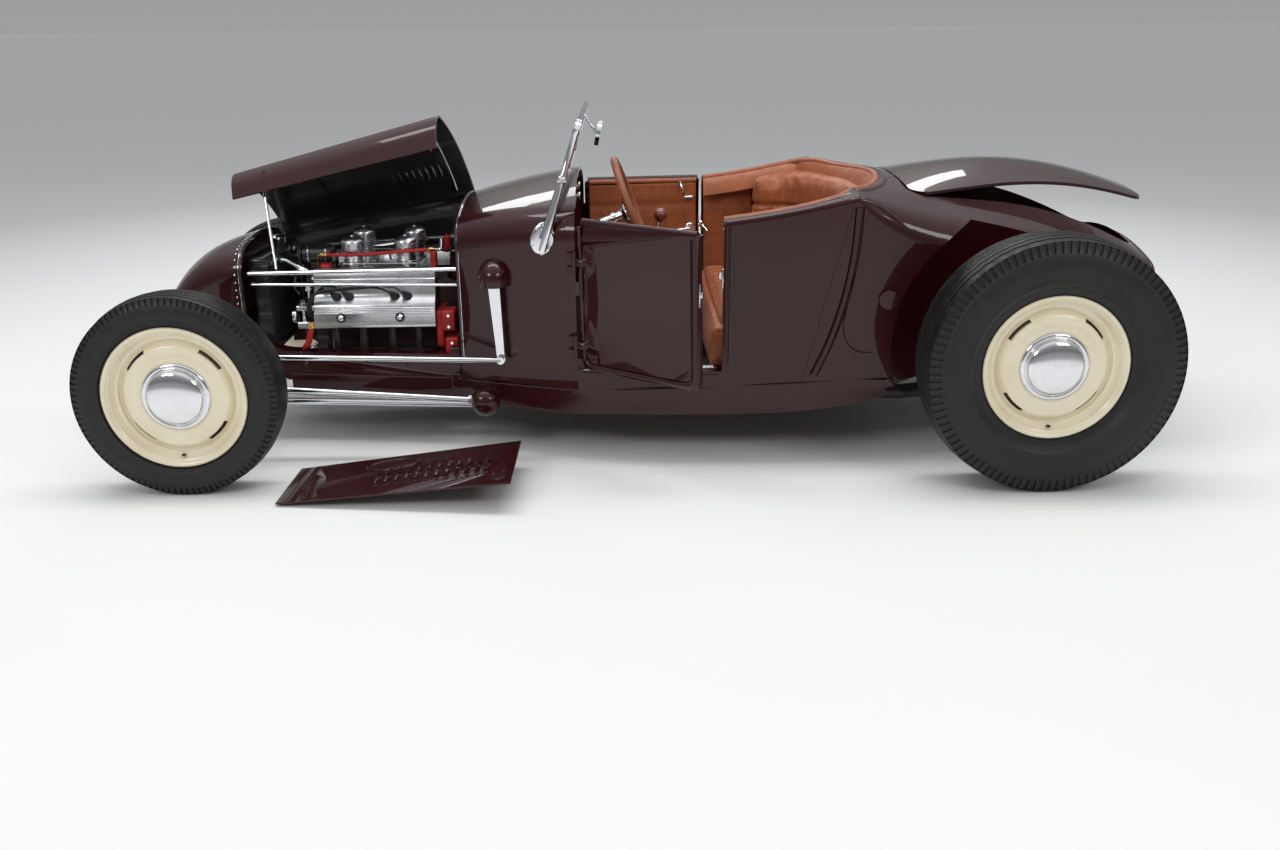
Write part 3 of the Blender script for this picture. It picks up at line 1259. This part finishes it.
def door_edges():
    """Rolled lips and creases round both doors and on their jambs, and the bright sill."""
    for side, name in SIDES:
        reach = 0.0105
        run = mm((1217, 779), (1217, 600), (1217, 420), (1219.5, 352), (1240, 332.5), (1300, 331),
            (1450, 331), (1600, 331), (1632, 333), (1647.5, 352), (1648.5, 420), (1648.5, 600), (1648.5, 779))
        lip = bent_tube([(x, side * (door_half(x, z) - 0.0042), z) for x, z in run], 0.0075, 5, 14)
        crease = bent_tube([(x + (reach if x < 1.3 else -reach if x > 1.55 else 0),
            side * (door_half(x, z) + 0.0003), z + (reach if z < 0.34 else 0)) for x, z in run], 0.0015, 5, 6)
        hang(lip, "lip", side, MAROON, SOFT)
        hang(crease, "crease", side, GAP, SOFT)
        jamb = mm((1676.5, 781), (1676.5, 600), (1676.5, 420), (1676.5, 335))
        tube("jamb_lip_" + name, MAROON, [outer_side(x, z, side, -0.0042) for x, z in jamb], 0.0075, 5, 14)
        tube("jamb_crease_" + name, GAP, [outer_side(x + reach, z, side, 0.0002) for x, z in jamb], 0.0011, 5,
            6)
        under = [outer_side(x, 0.305, side, 0.0002) for x in (1.222, 1.30, 1.42, 1.54, 1.66)]
        tube("sill_crease_" + name, GAP, under, 0.0011, 5, 6)
        half = door_half(1.43, 0.32)
        strip = soft_box((1.225, half - 0.046, 0.3145), (1.655, half - 0.014, 0.3175), 0.0012, 2)
        grooves = [soft_box((1.235, half - 0.041 + 0.007 * k, 0.317),
            (1.645, half - 0.038 + 0.007 * k, 0.3186), 0.0006, 1) for k in range(4)]
        plate = joined([strip] + grooves)
        dress(mirrored(plate, side), "sill_plate_" + name, CHROME, 30)


def door_latches():
    """Plated latch faces on the doors' edges and strikers on the jambs."""
    for side, name in SIDES:
        half = door_half(1.66, 0.62)
        face = soft_box((1.6545, half - 0.036, 0.578), (1.6592, half - 0.014, 0.648), 0.001, 2)
        bolt = soft_box((1.657, half - 0.031, 0.606), (1.6655, half - 0.019, 0.622), 0.002, 2)
        latch = joined([face, bolt])
        striker = joined([soft_box((1.6652, half - 0.040, 0.585), (1.6695, half - 0.012, 0.645), 0.001, 2),
            round_bar((1.668, half - 0.046, 0.615), (1.668, half - 0.062, 0.615), 0.013, 24),
            round_bar((1.668, half - 0.062, 0.615), (1.690, half - 0.066, 0.590), 0.0045, 12)])
        for piece in (latch, striker):
            mirrored(piece, side)
        hang(latch, "latch", side, CHROME, 30)
        dress(striker, "jamb_striker_" + name, CHROME, 30)


def body_lines():
    """The rolled seam between tub and tail, the quarter panel line and the line over the rails."""
    for side, name in SIDES:
        roll = [outer_side(x, z, side, -0.0090, ("tub", "rear_deck")) for x, z in SEAM]
        tube("tail_seam_roll_" + name, MAROON, roll, 0.0150, 6, 24)
        for shift in (-0.0125, 0.0125):
            edge = [outer_side(x + shift, z, side, 0.0001, ("tub", "rear_deck")) for x, z in SEAM]
            tube("tail_seam_%s_%s" % ("front" if shift < 0 else "rear", name), GAP, edge, 0.0021, 6, 6)
        quarter = [outer_side(x, z, side, 0.0001, ("rear_deck",)) for x, z in QUARTER_LINE]
        tube("quarter_line_" + name, GAP, quarter, 0.0016, 6, 6)
        belt = [outer_side(x, z, side, 0.0001) for x, z in BELT_LINE]
        tube("rail_line_" + name, GAP, belt, 0.0020, 6, 6)


RAIL_RUN = mm((215, 245, 168), (300, 245, 164), (450, 245, 162), (620, 245, 160), (790, 245, 160),
    (835, 245, 160), (930, 245, 160), (1060, 246, 160), (1200, 247, 161), (1350, 253, 163), (1500, 259, 165),
    (1650, 265, 168), (1800, 271, 172), (1930, 276, 177), (2030, 280, 189), (2120, 284, 202),
    (2200, 283, 226))


def rail_skirts():
    """The painted frame rail's outer face and lower flange, and the cup over the radius rod's end."""
    last = len(RAIL_RUN) - 1
    for side, name in SIDES:
        def place(u, v):
            x, high, low = RAIL_RUN[round(u * last)]
            face = outer_side(x, high - 0.004, side).y * side + 0.0012
            y, z = ((face - 0.060, low - 0.001), (face - 0.008, low), (face - 0.003, low + 0.012),
                (face, high - 0.006), (face - 0.004, high))[round(v * 4)]
            return x, side * y, z

        plate = sheet(last, 4, 0.002, place)
        dress(plate, "rail_skirt_" + name, MAROON, 30)
        dress(turned_piece(mm((0, 0), (47, 0), (47, 18), (44.5, 30), (38, 41), (26, 50), (12, 54.5),
            (0, 55.5)), (0.897, side * 0.440, 0.192), (0, side, 0), 56), "rod_cup_" + name, MAROON, 40)


TAIL_LIP = mm((330, 410), (346, 478), (362, 545), (362, 565), (354, 584), (334, 602), (288, 615), (209, 633),
    (130, 645), (49, 651))


def tail_pieces():
    """The rolled lip round the tail's end, and the raised lid's lining."""
    lining("lid_lining", "deck_lid", lambda face, _: face.normal.z >= -0.5 or abs(face.center.y) >= 0.31
        or face.center.x <= 2.34)
    line = [(3.0995, y, z) for y, z in TAIL_LIP] + [(3.0995, -y, z) for y, z in reversed(TAIL_LIP)]
    tube("tail_lip", MAROON, line, 0.0100, 6, 16, close=True)


HOOD_SIDE_LEAN = math.atan2(88, 725)
# The loose panel lies flat: a point's Y there is this less its height on the car.
LOOSE_SIDE_Y = -0.334


def loose_side(x, height):
    """The point on the panel laid on the floor, over X and for a height on the car."""
    return nodes["hood_side_left"].ray_cast(Vector((x, LOOSE_SIDE_Y - height, 0.4)), Vector((0, 0, -1)))[1]


def louvre():
    """One pressed louvre standing on the origin, long in Y and open to +X."""
    clear()
    bpy.ops.mesh.primitive_cube_add(size=1, location=(0, 0, 0.0024), scale=(0.0150, 0.0520, 0.0080))
    piece = bpy.context.active_object
    settle(piece)
    for vertex in piece.data.vertices:
        if vertex.co.z > 0:
            vertex.co.y *= 0.84
            if vertex.co.x < 0:
                vertex.co.z = 0.0012
            else:
                vertex.co.x = 0.0058
    modify(piece, "BEVEL", width=0.0026, segments=3, limit_method="ANGLE", angle_limit=math.radians(20))
    return piece


def side_louvres():
    """Two rows of louvres and an oval ring on the fitted hood side and on the one laid on the floor."""
    model = louvre()
    fitted, loose = [], []
    for row in (0.400, 0.470):
        for index in range(12):
            x = 0.380 + 0.031 * index
            place = outer_side(x - 0.012, row, 1, 0.0, ("hood_side_right",))
            turn = Matrix(((1, 0, 0), (0, 0, 1), (0, 1, 0))).to_4x4()
            lean = Matrix.Rotation(HOOD_SIDE_LEAN, 4, "Z")
            made = copy_of(model, Matrix.Translation(place + Vector((0.012, 0.0015, 0))) @ lean @ turn)
            outward(made)
            fitted.append(made)
            spot = loose_side(x + 0.1995, row)
            tilt = Matrix.Rotation(-HOOD_SIDE_LEAN, 4, "Y")
            loose.append(copy_of(model, Matrix.Translation(spot + Vector((0.012, 0, 0.0015))) @ tilt))
    dress(joined(fitted), "side_louvres_right", MAROON, 50)
    dress(joined(loose), "side_louvres_left", MAROON, 50)
    bpy.data.objects.remove(model)
    rings = [(0.405 + 0.082 * math.cos(turn), 0.310 + 0.046 * math.sin(turn)) for turn in turns(28)]
    fitted = [outer_side(x, z, 1, 0.0002, ("hood_side_right",)) for x, z in rings]
    loose = [loose_side(x + 0.212, z) for x, z in rings]
    for line, name in ((fitted, "right"), (loose, "left")):
        tube("side_ring_" + name, MAROON, line, 0.0042, 3, 12, close=True)


# ---- driving gear -------------------------------------------------------------------------

WHEEL_HUB = Vector((1.392, -0.25, 0.783))
WHEEL_LINE = Vector((0.939693, 0, 0.34202))


def steering_gear():
    """Leather-wrapped rim on four plated spokes, with its hub, cap and column."""
    stand = aim(WHEEL_HUB, WHEEL_LINE)
    ring = [(0.1775 + 0.0122 * math.cos(turn), 0.0122 * math.sin(turn)) for turn in turns(24)]
    rim = pulled_ring(ring + ring[:1], 96)
    rim.data.transform(stand)
    dress(rim, "steering_rim", RIM_LEATHER, 60, "steering_wheel")
    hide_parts("steering_wheel")
    spokes = []
    for turn in (45, 135, 225, 315):
        run = Matrix.Rotation(math.radians(turn), 4, "Z")
        for rise in (-0.010, 0.010):
            bar = bent_tube([(0.020, rise, -0.020), (0.060, rise * 0.9, -0.018), (0.120, rise * 0.7, -0.008),
                (0.171, rise * 0.6, 0.0)], 0.0032, 6, 12)
            bar.data.transform(run)
            spokes.append(bar)
    hub = pulled_ring(mm((0, -60), (15, -60), (17, -40), (30, -32), (34, -24), (34, -14), (29, -8), (27, -4),
        (26.5, -1), (20, 4), (10, 6.5), (0, 7)), 56)
    for turn in turns(6):
        spokes.append(round_bar((0.0235 * math.cos(turn), 0.0235 * math.sin(turn), -0.002),
            (0.0235 * math.cos(turn), 0.0235 * math.sin(turn), 0.0045), 0.0025, 10))
    spokes.append(round_bar((0, 0, -0.30), (0, 0, -0.055), 0.0145, 40))
    spokes.append(pulled_ring(mm((14.5, -75), (18.5, -74), (19.5, -68), (18.5, -60), (14.5, -59),
        (14.5, -75)), 40))
    frame_work = joined([hub] + spokes)
    frame_work.data.transform(stand)
    dress(frame_work, "steering_spokes", CHROME, 40, "steering_wheel")


def gear_stick():
    """Cranked plated lever with a brown knob, standing in a pleated boot."""
    stick = bent_tube(mm((1432, 0, 474), (1432, 0, 540), (1438, 0, 610), (1462, 0, 655), (1480, 0, 690),
        (1487, 0, 716)), 0.0062, 8, 16)
    dress(stick, "gear_stick", CHROME, SOFT)
    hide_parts("gear_lever")
    knob = mm((0, -2), (9, -1), (13, 3))
    knob += [(0.0235 * math.sin(math.radians(a)), 0.024 - 0.0235 * math.cos(math.radians(a)))
        for a in range(48, 180, 12)]
    dress(turned_piece(knob + [(0.0, 0.0475)], (1.486, 0, 0.708), (0.2, 0, 1), 48), "gear_knob", KNOB, SOFT)
    dress(turned_piece(mm((0, 0), (32, 0), (33, 2), (33, 6), (27, 10), (29, 16), (23, 22), (25, 28), (19, 34),
        (21, 40), (14, 47), (10.5, 54), (0, 56)), (1.432, 0, 0.470), UP, 48), "gear_boot", RUBBER, SOFT)


def windshield_fittings():
    """Oval base plates, tapered posts, pivots and wing nuts."""
    for side, name in SIDES:
        foot = outer_side(1.105, 0.735, side, 0.0, ("cowl",))
        plate = pulled_ring(mm((0, 0), (36, 0), (38, 2), (37.5, 5), (34, 8.5), (24, 10), (0, 10.2)), 56)
        plate.data.transform(Matrix.Scale(1.42, 4, (0, 1, 0)))
        screws = [round_bar((0.026 * a, 0.036 * b, 0.007), (0.026 * a, 0.036 * b, 0.0125), 0.0046, 14)
            for a, b in ((1, 0.75), (-1, 0.75), (1, -0.75), (-1, -0.75))]
        base = joined([plate] + screws)
        turn = Matrix(((0.96, 0.28, 0), (0, 0, side), (-0.28 * side * side, 0.96, 0))).to_4x4()
        base.data.transform(Matrix.Translation(foot) @ turn)
        outward(base)
        dress(base, "windshield_base_" + name, CHROME, 40)
        knee, head = mm((1170.7, 480, 916.7), (1220.2, 480, 1068.9), side=side)
        run = Vector(knee) - Vector((1.104, side * 0.5105, 0.700))
        sleeve = turned_piece([(0.0, 0.0), (0.0105, 0.0), (0.0125, 0.004), (0.0118, run.length * 0.55),
            (0.0098, run.length - 0.010), (0.0098, run.length), (0.0, run.length)],
            (1.104, side * 0.5105, 0.700), run, 32)
        upper = turned_piece(mm((0, 0), (11.8, 0), (12.6, 3), (12.6, 16), (10.4, 20), (10, 140), (11.8, 146),
            (11.8, 156), (0, 158)), knee, Vector(head) - Vector(knee), 32)
        ball = turned_piece([(0.0, -0.016)] + [(0.016 * math.cos(a), 0.016 * math.sin(a))
            for a in [math.radians(d) for d in range(-75, 90, 15)]] + [(0.0, 0.016)], knee, (0, side, 0), 32)
        dress(joined([sleeve, upper, ball]), "windshield_post_" + name, CHROME, 40)
        dress(joined([round_bar((1.1707, side * 0.494, 0.9167), (1.1707, side * 0.508, 0.9167), 0.0075, 20),
            soft_box((1.1567, min(side * 0.501, side * 0.505), 0.9115),
            (1.1847, max(side * 0.501, side * 0.505), 0.9219), 0.0015, 2)]), "windshield_wing_nut_" + name,
            CHROME, 40)


DIAL_Z = 0.797


def dash():
    """Instrument panel with cream dials, bezels and switches."""
    dress(soft_box((1.1815, -0.215, 0.752), (1.1840, 0.235, 0.842), 0.001, 2), "dash_plate", ALLOY, 30)
    for index, (y, radius) in enumerate(mm((-100, 34), (0, 40), (100, 34), (-175, 24))):
        spot = (1.183, y, DIAL_Z)
        dress(turned_piece([(radius - 0.004, 0.0), (radius + 0.003, 0.0), (radius + 0.004, 0.003),
            (radius + 0.002, 0.006), (radius - 0.002, 0.0072), (radius - 0.004, 0.005),
            (radius - 0.004, 0.0)], spot, REARWARDS, 56), "dial_bezel_%d" % index, CHROME, 40)
        dress(turned_piece([(0.0, 0.0), (radius - 0.003, 0.0), (radius - 0.003, 0.0024), (0.0, 0.0026)], spot,
            REARWARDS, 56), "dial_face_%d" % index, DIAL, 30)
        marks = [round_bar((1.1856, y + (radius - 0.010) * math.sin(t),
            DIAL_Z + (radius - 0.010) * math.cos(t)), (1.1856, y + (radius - 0.006) * math.sin(t),
            DIAL_Z + (radius - 0.006) * math.cos(t)), 0.0006, 6)
            for t in [math.radians(a) for a in range(-120, 121, 20)]]
        hand = round_bar((1.1862, y, DIAL_Z), (1.1862, y + (radius - 0.011) * math.sin(-0.7),
            DIAL_Z + (radius - 0.011) * math.cos(-0.7)), 0.0009, 6)
        cap = round_bar((1.185, y, DIAL_Z), (1.1882, y, DIAL_Z), 0.0035, 16)
        dress(joined(marks + [hand, cap]), "dial_hand_%d" % index, BLACK, 30)
    knobs = [turned_piece(mm((0, 0), (5, 0), (5, 8), (10, 10), (11, 14), (10, 19), (0, 21)), (1.183, y, z),
        REARWARDS, 28) for y, z in ((0.162, 0.815), (0.200, 0.815), (0.162, 0.778), (0.200, 0.778))]
    dress(joined(knobs), "dash_switches", CHROME, 40)


def under_gear():
    """The spring's clips and the rods' jam nuts."""
    clips = [soft_box((-0.031, side * 0.16 - 0.009, 0.288), (0.031, side * 0.16 + 0.009, 0.345), 0.002, 2)
        for side in (-1, 1)]
    for clip, name in zip(clips, ("left", "right")):
        dress(clip, "spring_clip_" + name, CHROME, 30)
    for side, name in SIDES:
        nuts = [turned_piece(mm((0, 0), (14.5, 0), (15.5, 1), (15.5, 11), (14.5, 12), (0, 12)),
            (x, side * 0.450, z), (0.99, 0, -0.05), 6) for x, z in ((0.075, 0.205), (0.84, 0.199))]
        dress(joined(nuts), "rod_nuts_" + name, CHROME, 30)


# ---- camera, floor and light --------------------------------------------------------------

CAMERA_PLACE = Vector((1.3579, -4.2418, 1.3868))
CAMERA_YAW, CAMERA_PITCH, CAMERA_ROLL = 0.0127, 0.3264, -0.0087
FOCAL_PIXELS, FRAME_PIXELS = 1200.97, 1280.0


def photo_camera():
    """The camera at the photograph's viewing angle."""
    ahead = Vector((math.sin(CAMERA_YAW) * math.cos(CAMERA_PITCH),
        math.cos(CAMERA_YAW) * math.cos(CAMERA_PITCH), -math.sin(CAMERA_PITCH)))
    level = Vector((math.cos(CAMERA_YAW), -math.sin(CAMERA_YAW), 0))
    upright = level.cross(ahead)
    across = level * math.cos(CAMERA_ROLL) + upright * math.sin(CAMERA_ROLL)
    up = upright * math.cos(CAMERA_ROLL) - level * math.sin(CAMERA_ROLL)
    turn = Matrix((across, up, -ahead)).transposed()
    data = bpy.data.cameras.new("photo_camera")
    data.sensor_width = 36.0
    data.lens = 36.0 * FOCAL_PIXELS / FRAME_PIXELS
    camera = bpy.data.objects.new("photo_camera", data)
    camera.matrix_world = Matrix.Translation(CAMERA_PLACE) @ turn.to_4x4()
    bpy.context.scene.collection.objects.link(camera)
    bpy.context.scene.camera = camera


def pale_floor():
    """Plain pale floor that fades into a pale background."""
    bpy.ops.object.select_all(action="DESELECT")
    bpy.ops.mesh.primitive_plane_add(size=400, location=(1.4, 0, 0))
    floor = bpy.context.active_object
    floor.name = "studio_floor"
    surface = Finish("studio_floor", Roughness=0.75)
    weave = surface.noise(900.0, 2.0)
    x, y = [surface.node("ShaderNodeSeparateXYZ", {}, surface.place(), output=axis) for axis in (0, 1)]
    near = surface.mix(weave.ramp(0.3, 0.7), (0.80, 0.80, 0.80), (0.84, 0.84, 0.83))
    surface.set("Base Color", surface.mix((x * x + y * y).ramp(9.0, 42.0), near, (0.56, 0.56, 0.56)))
    surface.bump(weave, 0.2, 0.002)
    floor.data.materials.append(surface.material)


def softbox(name, place, aim, size, power):
    """A soft rectangular lamp aimed at a point."""
    data = bpy.data.lights.new(name, "AREA")
    data.shape = "RECTANGLE"
    data.size, data.size_y = size
    data.energy = power
    lamp = bpy.data.objects.new(name, data)
    lamp.location = place
    lamp.rotation_euler = (Vector(aim) - Vector(place)).to_track_quat("-Z", "Y").to_euler()
    bpy.context.scene.collection.objects.link(lamp)


# Height on the sky's dome and its grey there.
SKY = ((0.0, 0.40), (0.04, 0.39), (0.16, 0.20), (0.42, 0.34), (0.80, 1.0))


def studio():
    """A pale sky over a darker horizon, and four softboxes."""
    world = bpy.data.worlds.new("studio_world")
    bpy.context.scene.world = world
    world.use_nodes = True
    sky = Tree(world.node_tree)
    height = sky.node("ShaderNodeSeparateXYZ", {}, sky.node("ShaderNodeTexCoord", {}), output=2)
    stops = [(rise, (level, level * 1.01, level * 1.03)) for rise, level in SKY]
    background = sky.tree.nodes["Background"].inputs
    sky.feed(background["Color"], sky.node("ShaderNodeValToRGB", {"stops": stops}, height))
    sky.feed(background["Strength"], 0.85)
    softbox("overhead", (1.2, -0.3, 5.4), (1.2, 0, 0), (6.5, 1.1), 150)
    softbox("front_left", (-3.4, -6.2, 4.6), (0.8, 0, 0.4), (2.8, 1.4), 120)
    softbox("rear_left", (5.8, -5.6, 4.4), (2.0, 0, 0.4), (2.8, 1.4), 85)
    softbox("far_side", (1.4, 5.4, 3.9), (1.4, 0, 0.6), (5.0, 0.7), 50)


for build in (build_wheels, seat_cushion, seat_back, door_skins, door_trim, quarter_trim, cabin_band,
        rim_rolls, valve_covers, intake, fuel_line, engine_front, engine_flanks, engine_small, bay_feet,
        hood_underside, body_welts, door_edges, door_latches, body_lines, rail_skirts, side_louvres,
        tail_pieces, steering_gear, gear_stick, windshield_fittings, dash, under_gear, photo_camera,
        pale_floor, studio):
    build()
bpy.context.scene.view_settings.view_transform = "Standard"
